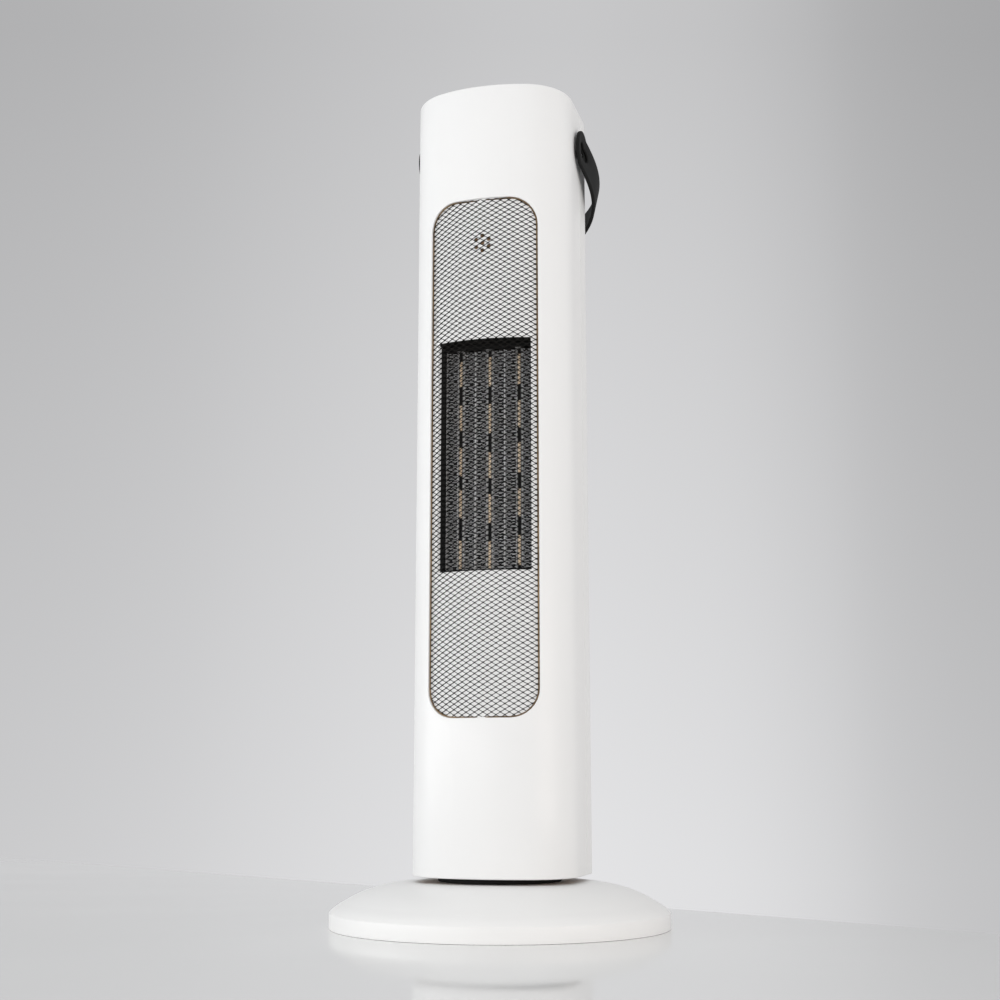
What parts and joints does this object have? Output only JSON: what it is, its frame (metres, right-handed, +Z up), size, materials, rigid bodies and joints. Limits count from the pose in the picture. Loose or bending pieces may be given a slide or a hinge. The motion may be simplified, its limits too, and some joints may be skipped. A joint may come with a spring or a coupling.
{
  "type": "fan heater",
  "caption": "Tall narrow ceramic fan heater with a diamond mesh front and a strap handle behind, on a round domed base that it swings on.",
  "frame": {"origin": "on the floor at the centre of the round base, on the axis that the tower swings about", "axes": "+Z up along the tower, -Y out of the mesh at the front, +X to the heater's left as it faces forward"},
  "size_m": [0.275, 0.275, 0.7022],
  "materials": {
    "white_plastic": "satin white moulded ABS",
    "inner_plastic": "matt off-white heat-resistant plastic",
    "black_plastic": "satin black plastic",
    "charcoal_plastic": "dark grey soft-touch plastic",
    "mesh_metal": "black stoved paint with a bronze tone",
    "rubber": "soft black rubber",
    "steel": "zinc plated",
    "ballast_iron": "cast, unpainted",
    "motor_case": "brushed can",
    "aluminium": "bright folded foil",
    "ceramic": "rough fired ceramic, tan",
    "board": "green circuit board",
    "acetal": "natural acetal",
    "filter": "open dark foam",
    "smoke": "polished dark window plastic"
  },
  "bodies": {
    "base": {"base_cover": "white_plastic", "base_plate": "black_plastic", "ballast_ring": "ballast_iron", "foot_1": "rubber", "foot_2": "rubber", "foot_3": "rubber", "foot_4": "rubber", "base_screw_1": "steel", "base_screw_2": "steel", "base_screw_3": "steel", "cord_bush": "rubber", "neck_ring": "black_plastic", "slide_washer": "acetal", "tip_switch": "black_plastic", "swing_motor": "motor_case"},
    "swing_pinion": {"swing_pinion": "acetal"},
    "tip_plunger": {"tip_plunger": "acetal"},
    "fan": {"fan_wheel": "black_plastic"},
    "handle": {"handle": "charcoal_plastic"},
    "power_rocker": {"power_rocker": "black_plastic"},
    "button_power": {"button_power": "charcoal_plastic"},
    "button_heat": {"button_heat": "charcoal_plastic"},
    "button_timer": {"button_timer": "charcoal_plastic"},
    "button_swing": {"button_swing": "charcoal_plastic"},
    "tower": {"front_shell": "white_plastic", "rear_shell": "white_plastic", "rear_grille": "white_plastic", "top_cap": "white_plastic", "inner_panel": "inner_plastic", "fan_housing": "inner_plastic", "tower_floor": "black_plastic", "window_bezel": "black_plastic", "heater_frame_top": "black_plastic", "heater_frame_bottom": "black_plastic", "switch_housing": "black_plastic", "handle_pivot_left": "black_plastic", "handle_pivot_right": "black_plastic", "fan_bush": "charcoal_plastic", "mesh_grille": "mesh_metal", "shell_screw_left": "steel", "shell_screw_right": "steel", "swing_retainer": "steel", "motor_bracket": "steel", "fan_motor": "motor_case", "fin_column_1": "aluminium", "fin_column_2": "aluminium", "fin_column_3": "aluminium", "fin_column_4": "aluminium", "fin_column_5": "aluminium", "fin_column_6": "aluminium", "ceramic_row_1": "ceramic", "ceramic_row_2": "ceramic", "ceramic_row_3": "ceramic", "thermal_cutout": "ceramic", "power_board": "board", "control_board": "board", "swing_gear": "acetal", "dust_filter": "filter", "display_lens": "smoke", "ir_receiver": "smoke"}
  },
  "joints": [
    {"name": "tower_swing", "type": "hinge", "parent": "base", "child": "tower", "pos_m": [0, 0, 0.0432], "axis": [0, 0, 1], "range_deg": [-35, 35]},
    {"name": "pinion_turn", "type": "hinge", "parent": "base", "child": "swing_pinion", "pos_m": [0, 0.0451, 0.0274], "axis": [0, 0, 1], "range_deg": [-176, 176]},
    {"name": "fan_spin", "type": "hinge", "parent": "tower", "child": "fan", "pos_m": [0, 0.017, 0.38], "axis": [0, 0, 1], "continuous": true},
    {"name": "handle_swing", "type": "hinge", "parent": "tower", "child": "handle", "pos_m": [0, 0.0115, 0.6617], "axis": [1, 0, 0], "range_deg": [0, 127]},
    {"name": "power_rocker_tip", "type": "hinge", "parent": "tower", "child": "power_rocker", "pos_m": [0, 0.0615, 0.084], "axis": [1, 0, 0], "range_deg": [-18, 0]},
    {"name": "tip_plunger_slide", "type": "slide", "parent": "base", "child": "tip_plunger", "axis": [0, 0, -1], "range_m": [0, 0.004]},
    {"name": "button_power_press", "type": "slide", "parent": "tower", "child": "button_power", "axis": [0, 0, -1], "range_m": [0, 0.0008], "stiffness_N_per_m": 400, "springref_m": -0.001},
    {"name": "button_heat_press", "type": "slide", "parent": "tower", "child": "button_heat", "axis": [0, 0, -1], "range_m": [0, 0.0008], "stiffness_N_per_m": 400, "springref_m": -0.001},
    {"name": "button_timer_press", "type": "slide", "parent": "tower", "child": "button_timer", "axis": [0, 0, -1], "range_m": [0, 0.0008], "stiffness_N_per_m": 400, "springref_m": -0.001},
    {"name": "button_swing_press", "type": "slide", "parent": "tower", "child": "button_swing", "axis": [0, 0, -1], "range_m": [0, 0.0008], "stiffness_N_per_m": 400, "springref_m": -0.001}
  ],
  "couplings": [
    {"joint": "pinion_turn", "follows": "tower_swing", "ratio": -5}
  ]
}
